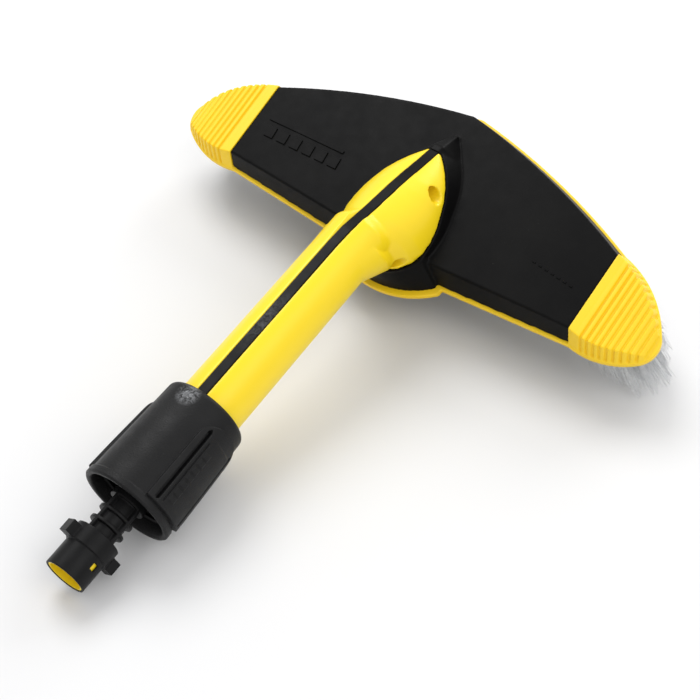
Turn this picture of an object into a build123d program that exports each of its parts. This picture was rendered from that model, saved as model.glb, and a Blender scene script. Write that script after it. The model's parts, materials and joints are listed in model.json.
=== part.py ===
from build123d import *
from math import atan2, cos, degrees, radians, sin, tan
import os

# Wash brush for a pressure washer: a wide bristle head on a fixed arm, with a bayonet inlet and a union nut.
# It lies on its near bristles and on the rim of its union nut. Millimetres, +Z up, +X along the head,
# -Y towards the inlet, origin at the middle of the bounding box's bottom.

# ---------------------------------------------------------------- driving dimensions
# Head, in the head frame: x along the head, y towards the far edge, z out of the shell's top.
GRIP_X = 110.0          # middle of the head to the inner edge of an end grip
TIP_X = 150.0           # middle of the head to the tip of an end grip
FAR_APEX_Y = 54.2       # far edge at the middle
FAR_GRIP_Y = 21.0       # far edge at the end grips
FAR_BULGE = 3.9         # bulge of each half of the far edge over its chord
NEAR_APEX_Y = -39.6     # near edge at the middle
NEAR_GRIP_Y = -31.9     # near edge at the end grips
TIP_Y = -16.0           # height of the tip along the head's width
CROWN_Z = 13.4          # top of the shell at the middle
CROWN_DROP = 2.6        # fall of the shell's top from the middle to the end grips
CROWN_TILT = 1.6        # degrees that the shell's top falls towards the far edge
DRAFT = 17.0            # degrees of slope of the shell's side walls
SHELL_WALL = 2.5

# Collar round the arm's foot
SEAT_Z = 22.2           # arm's seat over the head's origin
SEAT_TILT = 8.0         # degrees that the seat rises towards the far edge
FOOT_TIP_Y = 21.5       # pointed far end of the arm's foot
FOOT_BACK_Y = -50.0     # rounded near end of the arm's foot
FOOT_HALF = 24.8        # half width of the arm's foot
FOOT_GAP = 0.15         # gap between foot and collar
COLLAR_LIP = 1.2        # collar standing out round the foot
COLLAR_RISE = 1.0       # collar standing up over the seat
COLLAR_TIP_Y = 36.5     # collar's tip where it runs into the shell's top
COLLAR_ROOT_Z = 10.0
COLLAR_LEAN = 3.0       # collar's front leaning out over its root
NOSE_STEP = 0.6         # nose standing back under the collar's lip
NOSE_HALF = 32.7        # half width of the nose under the arm at the head's base
NOSE_Y = -51.8          # front of the nose
NOSE_DEPTH = 12.0       # depth of the nose's rounding
NOSE_BACK_Y = -31.8     # where the nose ends inside the head

# Bumper and end grips
RIM_HEIGHT = 3.5
RIM_OUT = 1.3           # bumper standing out beyond the shell
NOSE_RIM_OUT = 2.8      # bumper standing out beyond the nose
RIM_GRIP = 1.0          # bumper reaching in under the shell's wall
RIM_LIP = 2.3           # inner edge of the lip clamped under the shell
RIM_LIP_HEIGHT = 1.8
GRIP_SKIN = 3.0         # rubber over the shell's ends
GRIP_PROUD = 0.6        # rubber standing over the black surface
RIB_COUNT = 10
RIB_PITCH = 3.45
RIB_WIDTH = 2.1
RIB_DEPTH = 1.2
RIB_START = 4.2         # plain band before the first rib

# Brush plate and bristles
PLATE_GAP = 0.05
TUFT_RECESS = 1.2       # depth of the recess that holds the bristles' roots
BRISTLE_LENGTH = 34.0   # from the head's base to the bristle tips
BRISTLE_INSET = 6.0     # root of the bristles to the edge of the shell
BRISTLE_FLARE = 9.0     # growth of the bristle field from root to tip
TRENCH_LENGTH = 150.0   # bare strip for the nozzles
TRENCH_WIDTH = 15.0
TRENCH_Y = 4.0

# Arm, in the arm frame: s along the arm from the head's origin to the inlet
ARM_TILT = 11.74        # degrees between the arm and the head's base
ARM_Z = 31.5            # arm's axis over the head's origin
ARM_END_S = 181.0
ARM_END_R = 17.0
ARM_ROOT_S = 64.0
ARM_ROOT_R = 16.1
CHIN_SLIM = 1.5         # arm's root radius less the foot's upper half width behind the nose
ARM_WALL = 2.8
RIDGE_TOP = ((-35.0, 50.8), (-5.0, 38.3), (18.2, 27.2), (22.3, 25.4))   # y and z of the arm's top line
FLANK_BULGE = ((-44.0, 6.2), (-38.0, 5.8), (-31.0, 5.6), (-24.0, 5.3), (-17.0, 5.0), (-10.0, 4.6), (-3.0, 3.9),
               (4.0, 2.8), (10.0, 1.8), (14.5, 1.0), (18.2, 0.4))    # y and bulge of the foot's flanks
PROW_TOP = ((18.35, 27.0, 2.8), (22.5, 25.9, 2.7), (29.5, 20.6, 1.7), (35.8, 14.8, 0.5))     # y, z, half width
STRIP_WIDTH = 5.6
STRIP_DEPTH = 1.6
STRIP_GAP = 0.05

# Arm screws, along x
SCREW_R = 1.9
SCREW_HEAD_R = 3.3
SCREW_HEAD_H = 2.4
SCREW_WELL_R = 3.9      # well over each screw's head
SCREW_GAP = 0.05
FRONT_SCREW = (-4.0, 29.0)      # y and z of the screw near the collar's tip
REAR_SCREW = (-43.5, 22.5)      # y and z of the screw near the nose
SCREW_SEAT_X = 5.0              # x of the screw heads' seats
SCREW_TIP_X = -12.0             # x of the screws' tips
BOSS_R = 4.6
TONGUE_HALF = 3.0
TONGUE_R = 5.0

# Water path
TUBE_R = 5.0
TUBE_BORE_R = 3.6
TUBE_BEND_R = 17.0
TUBE_DOWN_Y = -17.0     # y of the tube's lower leg
TUBE_FIT = 0.05
PORT_DEPTH = 8.0
PORT_WALL = 3.0
SEAL_R = 0.9            # half thickness of an O-ring's section
CHANNEL_LENGTH = 116.0
CHANNEL_WIDTH = 20.0
CHANNEL_HEIGHT = 5.5
CHANNEL_WALL = 2.0
GASKET = 1.0
NOZZLE_COUNT = 3
NOZZLE_PITCH = 46.0
NOZZLE_R = 3.2
NOZZLE_BORE_R = 0.8
NOZZLE_FLANGE = 1.0

# Plate screws
PLATE_SCREWS = ((-118.0, -6.0), (-68.0, 4.0), (68.0, 4.0), (118.0, -6.0))     # x and y
PLATE_SCREW_R = 1.6
PLATE_SCREW_HEAD_R = 3.0
PLATE_SCREW_HEAD_H = 1.4
PLATE_SCREW_LENGTH = 9.0
PLATE_BOSS_R = 3.6

# Connector
INLET_REACH = 93.2      # arm's end to the inlet's mouth
NIPPLE_R = 11.05
NIPPLE_BORE_R = 9.9
LINER_BORE_R = 9.0
LINER_FIT = 0.05
LUG_SET_BACK = 18.4     # mouth to the middle of the bayonet lugs
LUG_R = 16.0
LUG_LENGTH = 6.8
LUG_WIDTH = 8.0
LUG_TURN = -49.5        # degrees that the lugs are turned about the arm
BAND_R = 11.9
BAND_SET_BACK = 24.4    # mouth to the back of the band that carries the lugs
BAND_LENGTH = 9.4
NECK_R = 7.3
NECK_RIB_R = 9.5
NECK_RING_COUNT = 2
NECK_RING_PITCH = 6.7
NECK_RING_WIDTH = 1.7
NECK_RIB_WIDTH = 1.8
NECK_RIB_TURN = 18.0
SOCKET_DEPTH = 20.0     # depth of the wide bore
LINER_LENGTH = 16.8
LINER_SET_BACK = 0.4    # liner standing back from the mouth
WINDOW_SET_BACK = 10.5  # mouth to the middle of the side window that shows the liner
WINDOW_TURN = 17.0
WINDOW_LENGTH = 3.6
WINDOW_WIDTH = 3.0
SPOUT_R = 4.2           # bore behind the socket
INLET_SEAL_R = 7.0      # middle radius of the seal on the socket's floor
INLET_SEAL_HALF = 1.1
FLANGE_INSET = 11.0     # arm's end to the back of the flange
FLANGE_R = 13.0         # flange held between the arm halves
FLANGE_LENGTH = 3.0
PLUG_LENGTH = 14.0      # part of the nipple inside the arm
TUBE_SOCKET = 10.0      # depth of the nipple's back socket for the water tube
TUBE_SEAL_INSET = 6.5   # arm's end to the rear tube seal
PLUG_FIT = 0.05

# Union nut and what stops it
NUT_REACH = 49.2        # arm's end to the nut's front
NUT_LENGTH = 61.8
NUT_FRONT_R = 24.7
NUT_BACK_R = 22.0
NUT_RIM = 4.2
NUT_RIM_OUT = 0.7       # front rim standing out over the cone
NUT_BORE_R = 21.4
NUT_FLANGE = 4.0
NUT_BACK_ROUND = 3.0
NUT_CHAMFER = 0.8       # front rim's outer edge
NUT_RUN_GAP = 0.35      # nut's back flange to the arm
THREAD_R = 20.3         # crests of the nut's thread ridges
THREAD_PITCH = 3.0
THREAD_TURNS = 5
THREAD_WIDTH = 1.3
THREAD_START = 7.0      # nut's mouth to the first ridge
WING_ANGLE = 35.0       # half width of a grip wing, degrees
WING_TURN = 17.75       # middle of the first wing about the arm, degrees
WING_OUT = 2.2
WING_BACK = 9.0         # plain part of the nut behind the wings
SLOT_ANGLE = 24.75
SLOT_WIDTH = 1.8
SLOT_DEPTH = 2.2
WASHER_THICKNESS = 1.2
WASHER_OUT_R = 20.6
PLAY = 0.2
STOP_LENGTH = 7.0
STOP_R = 19.6
STOP_FIT = 0.05

# Places along the arm that follow its end
TIP_S = ARM_END_S + INLET_REACH
LUG_S = TIP_S - LUG_SET_BACK
BAND_S = TIP_S - BAND_SET_BACK
WINDOW_S = TIP_S - WINDOW_SET_BACK
FLANGE_S = ARM_END_S - FLANGE_INSET
TUBE_SEAL_S = ARM_END_S - TUBE_SEAL_INSET
NUT_FRONT_S = ARM_END_S + NUT_REACH

# ---------------------------------------------------------------- resting pose and frames
def polar(radius, angle):
    """Point at an angle from local x."""
    return (radius * cos(radians(angle)), radius * sin(radians(angle)))


ARM_C = cos(radians(ARM_TILT))
ARM_S = sin(radians(ARM_TILT))


def mirrored_face(edges):
    """Face inside a half outline, drawn for positive x, and its mirror image."""
    with BuildSketch() as face:
        with BuildLine():
            add(edges)
            mirror(edges, about=Plane.YZ)
        make_face()
    return face.sketch


def grown(face, amount):
    """The same outline moved outwards."""
    with BuildSketch() as larger:
        add(face)
        offset(amount=amount, mode=Mode.REPLACE)
    return larger.sketch


def head_outline():
    """The shell's outer edge at the head's base."""
    bulge = Vector(FAR_APEX_Y - FAR_GRIP_Y, GRIP_X).normalized() * FAR_BULGE
    far_middle = Vector(GRIP_X / 2, (FAR_APEX_Y + FAR_GRIP_Y) / 2) + bulge
    grip_length = TIP_X - GRIP_X
    shoulder = (TIP_X - 0.07 * grip_length, TIP_Y + 9.5)
    cheek = (TIP_X - 0.10 * grip_length, TIP_Y - 7.5)
    with BuildLine() as half:
        Line((0, NEAR_APEX_Y), (GRIP_X, NEAR_GRIP_Y))
        ThreePointArc((GRIP_X, NEAR_GRIP_Y), (TIP_X - 0.42 * grip_length, NEAR_GRIP_Y + 1.4), cheek)
        ThreePointArc(cheek, (TIP_X, TIP_Y), shoulder)
        ThreePointArc(shoulder, (GRIP_X + 0.59 * grip_length, FAR_GRIP_Y - 11.8), (GRIP_X, FAR_GRIP_Y))
        ThreePointArc((GRIP_X, FAR_GRIP_Y), far_middle, (0, FAR_APEX_Y))
    return mirrored_face(half.line)


def nose_outline(half, front, depth):
    """Rounded front of the collar, under the arm: half width, front edge and depth of the rounding."""
    with BuildSketch() as face:
        with BuildLine():
            shoulder = (0.6 * half, front + 0.32 * depth)
            ThreePointArc((-shoulder[0], shoulder[1]), (0, front), shoulder)
            ThreePointArc(shoulder, (0.82 * half, front + 0.64 * depth), (half, front + depth))
            Polyline((half, front + depth), (half, NOSE_BACK_Y), (-half, NOSE_BACK_Y), (-half, front + depth))
            ThreePointArc((-half, front + depth), (-0.82 * half, front + 0.64 * depth), (-shoulder[0], shoulder[1]))
        make_face()
    return face.sketch


def bow_outline(tip, back, half):
    """Outline like a ship's deck: pointed at the far end, rounded at the near end."""
    def station(across, along):
        return (across * half, tip - along * (tip - back))

    with BuildLine() as side:
        ThreePointArc(station(0, 1), station(0.36, 0.977), station(0.70, 0.91))
        ThreePointArc(station(0.70, 0.91), station(0.87, 0.84), station(0.985, 0.73))
        ThreePointArc(station(0.985, 0.73), station(0.98, 0.585), station(0.875, 0.44))
        ThreePointArc(station(0.875, 0.44), station(0.53, 0.18), station(0, 0))
    return mirrored_face(side.line)


def bristle_roots():
    """Bristle field at the plate: it follows the head, with a straight near edge."""
    inside = grown(HEAD_FACE, -BRISTLE_INSET)
    with BuildSketch() as field:
        add(inside)
        with Locations((0, NEAR_GRIP_Y + BRISTLE_INSET)):
            Rectangle(2 * TIP_X, 2 * TIP_X, align=(Align.CENTER, Align.MIN), mode=Mode.INTERSECT)
    return field.sketch


HEAD_FACE = head_outline()
NOSE_FACE = nose_outline(NOSE_HALF, NOSE_Y, NOSE_DEPTH)
BASE_FACE = HEAD_FACE + NOSE_FACE
ROOT_FACE = bristle_roots()
TIPS_FACE = grown(ROOT_FACE, BRISTLE_FLARE)

# The lower edge of the nut's front rim and the near edge of the bristle tips both lie on the ground.
heel_y = TIPS_FACE.bounding_box().min.Y
toe_y = TIPS_FACE.bounding_box().max.Y
rest_s = NUT_FRONT_S - NUT_CHAMFER
rest_y = -rest_s * ARM_C - NUT_FRONT_R * ARM_S
rest_z = ARM_Z + rest_s * ARM_S - NUT_FRONT_R * ARM_C
PITCH = degrees(atan2(rest_z + BRISTLE_LENGTH, heel_y - rest_y))
PITCH_C = cos(radians(PITCH))
PITCH_S = sin(radians(PITCH))


def pitched(y, z):
    """Height-plane position of a head point once the head is pitched onto its near bristles."""
    return (y * PITCH_C - z * PITCH_S, y * PITCH_S + z * PITCH_C)


front_y = pitched(-TIP_S * ARM_C + NIPPLE_R * ARM_S, ARM_Z + TIP_S * ARM_S + NIPPLE_R * ARM_C)[0]
back_y = pitched(toe_y, -BRISTLE_LENGTH)[0]
floor_z = pitched(heel_y, -BRISTLE_LENGTH)[1]
HEAD = Plane(origin=(0, -(front_y + back_y) / 2, -floor_z), x_dir=(1, 0, 0), z_dir=(0, -PITCH_S, PITCH_C))


def head_plane(z):
    """Plane parallel to the head's base, at a height over it."""
    return HEAD.offset(z)


def head_section(y, lean=0.0):
    """Upright plane across the head at y, its local axes along x and up, leaning towards the far edge."""
    normal = HEAD.z_dir * sin(radians(lean)) - HEAD.y_dir * cos(radians(lean))
    return Plane(origin=HEAD.from_local_coords((0, y, 0)), x_dir=(1, 0, 0), z_dir=normal)


def head_side(x):
    """Upright plane along y at x, its local axes along y and up, facing positive x."""
    return Plane(origin=HEAD.from_local_coords((x, 0, 0)), x_dir=HEAD.y_dir, z_dir=(1, 0, 0))


ARM_DIR = HEAD.z_dir * ARM_S - HEAD.y_dir * ARM_C
ARM = Plane(origin=HEAD.from_local_coords((0, 0, ARM_Z)), x_dir=(1, 0, 0), z_dir=ARM_DIR)
SEAT = Plane(origin=HEAD.from_local_coords((0, 0, SEAT_Z)), x_dir=(1, 0, 0),
             z_dir=HEAD.z_dir * cos(radians(SEAT_TILT)) - HEAD.y_dir * sin(radians(SEAT_TILT)))


def save(piece, name):
    """Label a finished piece and write it as one STEP file."""
    piece.label = name
    export_step(piece, "parts/" + name + ".step")


os.makedirs("parts", exist_ok=True)


def ring(plane, outer, inner, length):
    """Plain ring standing on a plane."""
    with BuildPart() as piece:
        with BuildSketch(plane):
            Circle(outer)
            Circle(inner, mode=Mode.SUBTRACT)
        extrude(amount=length)
    return piece.part


def disc(plane, radius, length, centre=(0, 0)):
    """Plain cylinder standing on a plane."""
    with BuildPart() as piece:
        with BuildSketch(plane):
            with Locations(centre):
                Circle(radius)
        extrude(amount=length)
    return piece.part


def prism(plane, face, length):
    """Face laid on a plane and drawn out along its normal."""
    with BuildPart() as piece:
        with BuildSketch(plane):
            add(face)
        extrude(amount=length)
    return piece.part


# ---------------------------------------------------------------- head shell
def crown_profile(drop):
    """Front view of everything below the shell's top, lowered by a margin."""
    grip_length = TIP_X - GRIP_X
    shoulder_z = CROWN_Z - CROWN_DROP - drop
    end_x = TIP_X + 1.0 - drop
    with BuildSketch() as face:
        with BuildLine():
            ThreePointArc((-GRIP_X, shoulder_z), (0, CROWN_Z - drop), (GRIP_X, shoulder_z))
            for side in (-1, 1):
                Spline((side * GRIP_X, shoulder_z),
                       (side * (GRIP_X + 0.60 * grip_length), shoulder_z - 2.6),
                       (side * (GRIP_X + 0.90 * grip_length), shoulder_z - 7.6),
                       (side * end_x, -RIM_HEIGHT))
            Polyline((-end_x, -RIM_HEIGHT), (-end_x, -2 * CROWN_Z), (end_x, -2 * CROWN_Z), (end_x, -RIM_HEIGHT))
        make_face()
    return face.sketch


def head_body(inset):
    """Solid shape of the head: sloping sides under a crowned top, all of it smaller by a margin."""
    outline = grown(HEAD_FACE, -inset) if inset else HEAD_FACE
    profile = crown_profile(inset)
    with BuildPart() as body:
        with BuildSketch(HEAD):
            add(outline)
        extrude(amount=1.6 * CROWN_Z, taper=DRAFT)
        with BuildSketch(head_section(0, CROWN_TILT)):
            add(profile)
        extrude(amount=FAR_APEX_Y + TIP_X, both=True, mode=Mode.INTERSECT)
    return body.part


def slab(middle, thickness):
    """Everything between two upright planes across the head, given by the slab's middle and thickness."""
    with BuildPart() as piece:
        with BuildSketch(head_side(middle - thickness / 2)):
            Rectangle(4 * TIP_X, 4 * TIP_X)
        extrude(amount=thickness)
    return piece.part


FOOT_FACE = bow_outline(FOOT_TIP_Y, FOOT_BACK_Y, FOOT_HALF)


def collar_body(inset):
    """Raised bow round the arm's foot and the rounded nose under the arm."""
    half = FOOT_HALF + COLLAR_LIP - inset
    front = FOOT_BACK_Y - COLLAR_LIP + inset
    top = SEAT.offset(COLLAR_RISE - inset)
    bow_root = bow_outline(COLLAR_TIP_Y - 1.5 * inset, NOSE_Y + COLLAR_LEAN + inset, half + 0.8)
    bow_top = bow_outline(FOOT_TIP_Y + 0.6 * COLLAR_LIP - 1.5 * inset, front, half)
    nose_root = nose_outline(NOSE_HALF - inset, NOSE_Y + inset, NOSE_DEPTH)
    nose_top = nose_outline(half - NOSE_STEP, front + NOSE_STEP, 1.25 * NOSE_DEPTH)
    with BuildPart() as body:
        with BuildSketch(head_plane(COLLAR_ROOT_Z - inset)):
            add(bow_root)
        with BuildSketch(top):
            add(bow_top)
        loft(ruled=True)
        with BuildSketch(HEAD):
            add(nose_root)
        with BuildSketch(top):
            add(nose_top)
        loft(ruled=True)
    return body.part


def tongue(screw):
    """Upright lug inside the arm's foot, which an arm screw crosses."""
    with BuildPart() as lug:
        with BuildSketch(head_side(-TONGUE_HALF)):
            with Locations(screw):
                Circle(TONGUE_R)
                Rectangle(2 * TONGUE_R, TONGUE_R + COLLAR_ROOT_Z, align=(Align.CENTER, Align.MAX))
        extrude(amount=2 * TONGUE_HALF)
        with BuildSketch(SEAT.offset(-SHELL_WALL)):
            Rectangle(TIP_X, TIP_X)
        extrude(amount=-TIP_X, mode=Mode.SUBTRACT)
        with BuildSketch(head_side(-TONGUE_HALF)):
            with Locations(screw):
                Circle(SCREW_R + SCREW_GAP)
        extrude(amount=2 * TONGUE_HALF, mode=Mode.SUBTRACT)
    return lug.part


def ridge_line():
    """Top line of the arm's foot, in the plane x = 0, from the arm's root to the foot's tip."""
    root = (-ARM_ROOT_S * ARM_C + ARM_ROOT_R * ARM_S, ARM_Z + ARM_ROOT_S * ARM_S + ARM_ROOT_R * ARM_C)
    return Spline(root, *RIDGE_TOP, tangents=((ARM_C, -ARM_S), (0.85, -0.5)))


def half_width(face, y):
    """Half width of a symmetric outline at y."""
    cut = face & Pos(0, y) * Rectangle(4 * FOOT_HALF, 0.02)
    return cut.bounding_box().max.X


def prow():
    """Ridge with sloping sides that carries the strip's line over the collar to its tip."""
    root = bow_outline(COLLAR_TIP_Y, NOSE_Y + COLLAR_LEAN, FOOT_HALF + COLLAR_LIP)
    sections = []
    for y, top, top_half in PROW_TOP:
        half = half_width(root, y)
        with BuildSketch(head_section(y)) as section:
            with BuildLine():
                Polyline((-half, COLLAR_ROOT_Z), (half, COLLAR_ROOT_Z), (top_half, top), (-top_half, top), close=True)
            make_face()
        sections.append(section.sketch)
    return loft(sections=sections, ruled=True)


with BuildSketch() as boss_spots:
    with Locations(*PLATE_SCREWS):
        Circle(PLATE_BOSS_R)

shell_middle = head_body(0) & slab(0, 2 * GRIP_X)
shell_ends = head_body(GRIP_SKIN)
collar = collar_body(0)
collar_prow = prow()
foot_room = prism(SEAT, grown(FOOT_FACE, FOOT_GAP), 2 * COLLAR_TIP_Y)
hollow_ends = head_body(GRIP_SKIN + SHELL_WALL)
hollow_middle = slab(0, 2 * (GRIP_X - SHELL_WALL)) & head_body(SHELL_WALL)
hollow_nose = collar_body(SHELL_WALL + COLLAR_RISE)
tongues = tongue(FRONT_SCREW) + tongue(REAR_SCREW)
bosses = prism(HEAD, boss_spots.sketch, CROWN_Z) & (shell_middle + shell_ends)

with BuildPart() as head_shell:
    add(shell_middle)
    add(shell_ends)
    add(collar)
    add(foot_room, mode=Mode.SUBTRACT)
    add(collar_prow)
    add(hollow_ends, mode=Mode.SUBTRACT)
    add(hollow_middle, mode=Mode.SUBTRACT)
    add(hollow_nose, mode=Mode.SUBTRACT)
    add(tongues)
    add(bosses)
    # pilot holes for the plate screws, and the way down for the water tube
    with BuildSketch(HEAD):
        with Locations(*PLATE_SCREWS):
            Circle(PLATE_SCREW_R)
    extrude(amount=PLATE_SCREW_LENGTH - RIM_HEIGHT + 1.0, mode=Mode.SUBTRACT)
    with BuildSketch(HEAD):
        with Locations((0, TUBE_DOWN_Y)):
            Circle(TUBE_R + PORT_WALL + PLAY)
    extrude(amount=2 * SEAT_Z, mode=Mode.SUBTRACT)
save(head_shell.part, "head_shell")


# ---------------------------------------------------------------- bumper with its ribbed end grips
def grip_bodies(inset):
    """Both end grips, without their ribs when the margin is the ribs' depth."""
    return head_body(inset - GRIP_PROUD) - slab(0, 2 * GRIP_X) - shell_ends


rim_out = grown(BASE_FACE, RIM_OUT) + grown(NOSE_FACE, NOSE_RIM_OUT)
rim_in = grown(BASE_FACE, -RIM_GRIP)
lip_in = grown(BASE_FACE, -RIM_LIP)
grip_cores = grip_bodies(RIB_DEPTH)
grip_ribs = []
for side in (-1, 1):
    grip_ribs.append(slab(side * (GRIP_X + RIB_START / 2), RIB_START))
    for i in range(RIB_COUNT):
        grip_ribs.append(slab(side * (GRIP_X + RIB_START + (i + 0.5) * RIB_PITCH), RIB_WIDTH))
grip_ribs = grip_bodies(0) & Part() + grip_ribs

with BuildPart() as bumper:
    with BuildSketch(head_plane(-RIM_HEIGHT)):
        add(rim_out)
        add(rim_in, mode=Mode.SUBTRACT)
    extrude(amount=RIM_HEIGHT)
    with BuildSketch(head_plane(-RIM_LIP_HEIGHT)):
        add(BASE_FACE)
        add(lip_in, mode=Mode.SUBTRACT)
    extrude(amount=RIM_LIP_HEIGHT)
    add(grip_cores)
    add(grip_ribs)
save(bumper.part, "bumper")


# ---------------------------------------------------------------- brush plate, bristles and plate screws
def trench():
    """Bare strip of the plate, where the nozzles and two of the plate screws are."""
    with BuildSketch() as strip:
        with Locations((0, TRENCH_Y)):
            SlotOverall(TRENCH_LENGTH, TRENCH_WIDTH)
        with Locations(PLATE_SCREWS[0], PLATE_SCREWS[-1]):
            Circle(PLATE_SCREW_HEAD_R + 1.5)
    return strip.sketch


flange_face = grown(BASE_FACE, -RIM_GRIP - PLATE_GAP)
plate_face = grown(BASE_FACE, -RIM_LIP - PLATE_GAP)
recess_face = grown(ROOT_FACE, PLATE_GAP)
trench_face = trench()

with BuildPart() as brush_plate:
    with BuildSketch(head_plane(-RIM_HEIGHT)):
        add(flange_face)
    extrude(amount=RIM_HEIGHT - RIM_LIP_HEIGHT - PLATE_GAP)
    with BuildSketch(head_plane(-RIM_LIP_HEIGHT - PLATE_GAP)):
        add(plate_face)
    extrude(amount=RIM_LIP_HEIGHT + PLATE_GAP)
    with BuildSketch(head_plane(-RIM_HEIGHT)):
        add(recess_face)
        add(trench_face, mode=Mode.SUBTRACT)
    extrude(amount=TUFT_RECESS, mode=Mode.SUBTRACT)
    with BuildSketch(head_plane(-RIM_HEIGHT)):
        with Locations(*PLATE_SCREWS):
            Circle(PLATE_SCREW_R + PLATE_GAP)
    extrude(amount=RIM_HEIGHT, mode=Mode.SUBTRACT)
    with BuildSketch(head_plane(-RIM_HEIGHT)):
        with Locations(*PLATE_SCREWS):
            Circle(PLATE_SCREW_HEAD_R + 2 * PLATE_GAP)
    extrude(amount=PLATE_SCREW_HEAD_H, mode=Mode.SUBTRACT)
    with BuildSketch(head_plane(-RIM_HEIGHT)):
        with Locations((0, TRENCH_Y)):
            with GridLocations(NOZZLE_PITCH, 1, NOZZLE_COUNT, 1):
                Circle(NOZZLE_R + PLATE_GAP)
    extrude(amount=RIM_HEIGHT, mode=Mode.SUBTRACT)
    with BuildSketch(head_plane(-NOZZLE_FLANGE)):
        with Locations((0, TRENCH_Y)):
            with GridLocations(NOZZLE_PITCH, 1, NOZZLE_COUNT, 1):
                Circle(NOZZLE_R + 1.0 + PLATE_GAP)
    extrude(amount=NOZZLE_FLANGE, mode=Mode.SUBTRACT)
save(brush_plate.part, "brush_plate")

with BuildPart() as bristle_field:
    with BuildSketch(head_plane(-RIM_HEIGHT)):
        add(ROOT_FACE)
    extrude(amount=TUFT_RECESS)
    with BuildSketch(head_plane(-RIM_HEIGHT)):
        add(ROOT_FACE)
    with BuildSketch(head_plane(-BRISTLE_LENGTH)):
        add(TIPS_FACE)
    loft()
    with BuildSketch(head_plane(-BRISTLE_LENGTH)):
        add(trench_face)
    extrude(amount=BRISTLE_LENGTH, mode=Mode.SUBTRACT)
save(bristle_field.part, "bristle_field")

with BuildPart() as plate_screws:
    with BuildSketch(head_plane(-RIM_HEIGHT)):
        with Locations(*PLATE_SCREWS):
            Circle(PLATE_SCREW_HEAD_R)
    extrude(amount=PLATE_SCREW_HEAD_H)
    with BuildSketch(head_plane(-RIM_HEIGHT)):
        with Locations(*PLATE_SCREWS):
            Circle(PLATE_SCREW_R)
    extrude(amount=PLATE_SCREW_LENGTH)
    with BuildSketch(head_plane(-RIM_HEIGHT)):
        for x, y in PLATE_SCREWS:
            with Locations((x, y)):
                Rectangle(0.7 * PLATE_SCREW_HEAD_R, 0.7)
                Rectangle(0.7, 0.7 * PLATE_SCREW_HEAD_R)
    extrude(amount=0.5 * PLATE_SCREW_HEAD_H, mode=Mode.SUBTRACT)
save(plate_screws.part, "plate_screws")


# ---------------------------------------------------------------- water channel, gasket and nozzles
def channel_outline(inset):
    """Outline of the duct: a bar along the head with a spur under the water tube."""
    spur_front = TUBE_DOWN_Y - TUBE_R - PORT_WALL - CHANNEL_WALL
    with BuildSketch() as face:
        with Locations((0, TRENCH_Y)):
            RectangleRounded(CHANNEL_LENGTH - 2 * inset, CHANNEL_WIDTH - 2 * inset, CHANNEL_WALL + 1.0 - inset)
        with Locations((0, spur_front + inset)):
            Rectangle(CHANNEL_WIDTH - 2 * inset, TRENCH_Y - spur_front, align=(Align.CENTER, Align.MIN))
    return face.sketch


channel_outer = channel_outline(0)
channel_inner = channel_outline(CHANNEL_WALL)
CHANNEL_TOP = GASKET + CHANNEL_HEIGHT
PORT_TOP = CHANNEL_TOP + PORT_DEPTH
PORT_SEAL_Z = CHANNEL_TOP + 0.55 * PORT_DEPTH
with BuildPart() as water_channel:
    with BuildSketch(head_plane(GASKET)):
        add(channel_outer)
    extrude(amount=CHANNEL_HEIGHT)
    with BuildSketch(head_plane(GASKET)):
        add(channel_inner)
    extrude(amount=CHANNEL_HEIGHT - CHANNEL_WALL, mode=Mode.SUBTRACT)
    with BuildSketch(head_plane(CHANNEL_TOP - CHANNEL_WALL)):
        with Locations((0, TUBE_DOWN_Y)):
            Circle(TUBE_R + PORT_WALL)
    extrude(amount=PORT_DEPTH + CHANNEL_WALL)
    with BuildSketch(head_plane(GASKET)):
        with Locations((0, TUBE_DOWN_Y)):
            Circle(TUBE_BORE_R)
    extrude(amount=2 * PORT_TOP, mode=Mode.SUBTRACT)
    with BuildSketch(head_plane(CHANNEL_TOP)):
        with Locations((0, TUBE_DOWN_Y)):
            Circle(TUBE_R + TUBE_FIT)
    extrude(amount=PORT_DEPTH, mode=Mode.SUBTRACT)
    with BuildSketch(head_plane(PORT_SEAL_Z - SEAL_R)):
        with Locations((0, TUBE_DOWN_Y)):
            Circle(TUBE_R + 2 * SEAL_R)
    extrude(amount=2 * SEAL_R, mode=Mode.SUBTRACT)
save(water_channel.part, "water_channel")

with BuildPart() as channel_gasket:
    with BuildSketch(HEAD):
        add(channel_outer)
        add(channel_inner, mode=Mode.SUBTRACT)
    extrude(amount=GASKET)
save(channel_gasket.part, "channel_gasket")

with BuildPart() as spray_nozzles:
    with BuildSketch(head_plane(-RIM_HEIGHT)):
        with Locations((0, TRENCH_Y)):
            with GridLocations(NOZZLE_PITCH, 1, NOZZLE_COUNT, 1):
                Circle(NOZZLE_R)
    extrude(amount=RIM_HEIGHT)
    with BuildSketch(head_plane(-NOZZLE_FLANGE)):
        with Locations((0, TRENCH_Y)):
            with GridLocations(NOZZLE_PITCH, 1, NOZZLE_COUNT, 1):
                Circle(NOZZLE_R + 1.0)
    extrude(amount=NOZZLE_FLANGE)
    with BuildSketch(head_plane(-RIM_HEIGHT)):
        with Locations((0, TRENCH_Y)):
            with GridLocations(NOZZLE_PITCH, 1, NOZZLE_COUNT, 1):
                Circle(NOZZLE_BORE_R)
    extrude(amount=RIM_HEIGHT, mode=Mode.SUBTRACT)
    with BuildSketch(HEAD):
        with Locations((0, TRENCH_Y)):
            with GridLocations(NOZZLE_PITCH, 1, NOZZLE_COUNT, 1):
                Circle(2 * NOZZLE_BORE_R)
    extrude(amount=-RIM_HEIGHT / 2, mode=Mode.SUBTRACT)
save(spray_nozzles.part, "spray_nozzles")


# ---------------------------------------------------------------- arm
RIDGE_START_Y = -ARM_ROOT_S * ARM_C + ARM_ROOT_R * ARM_S


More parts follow.
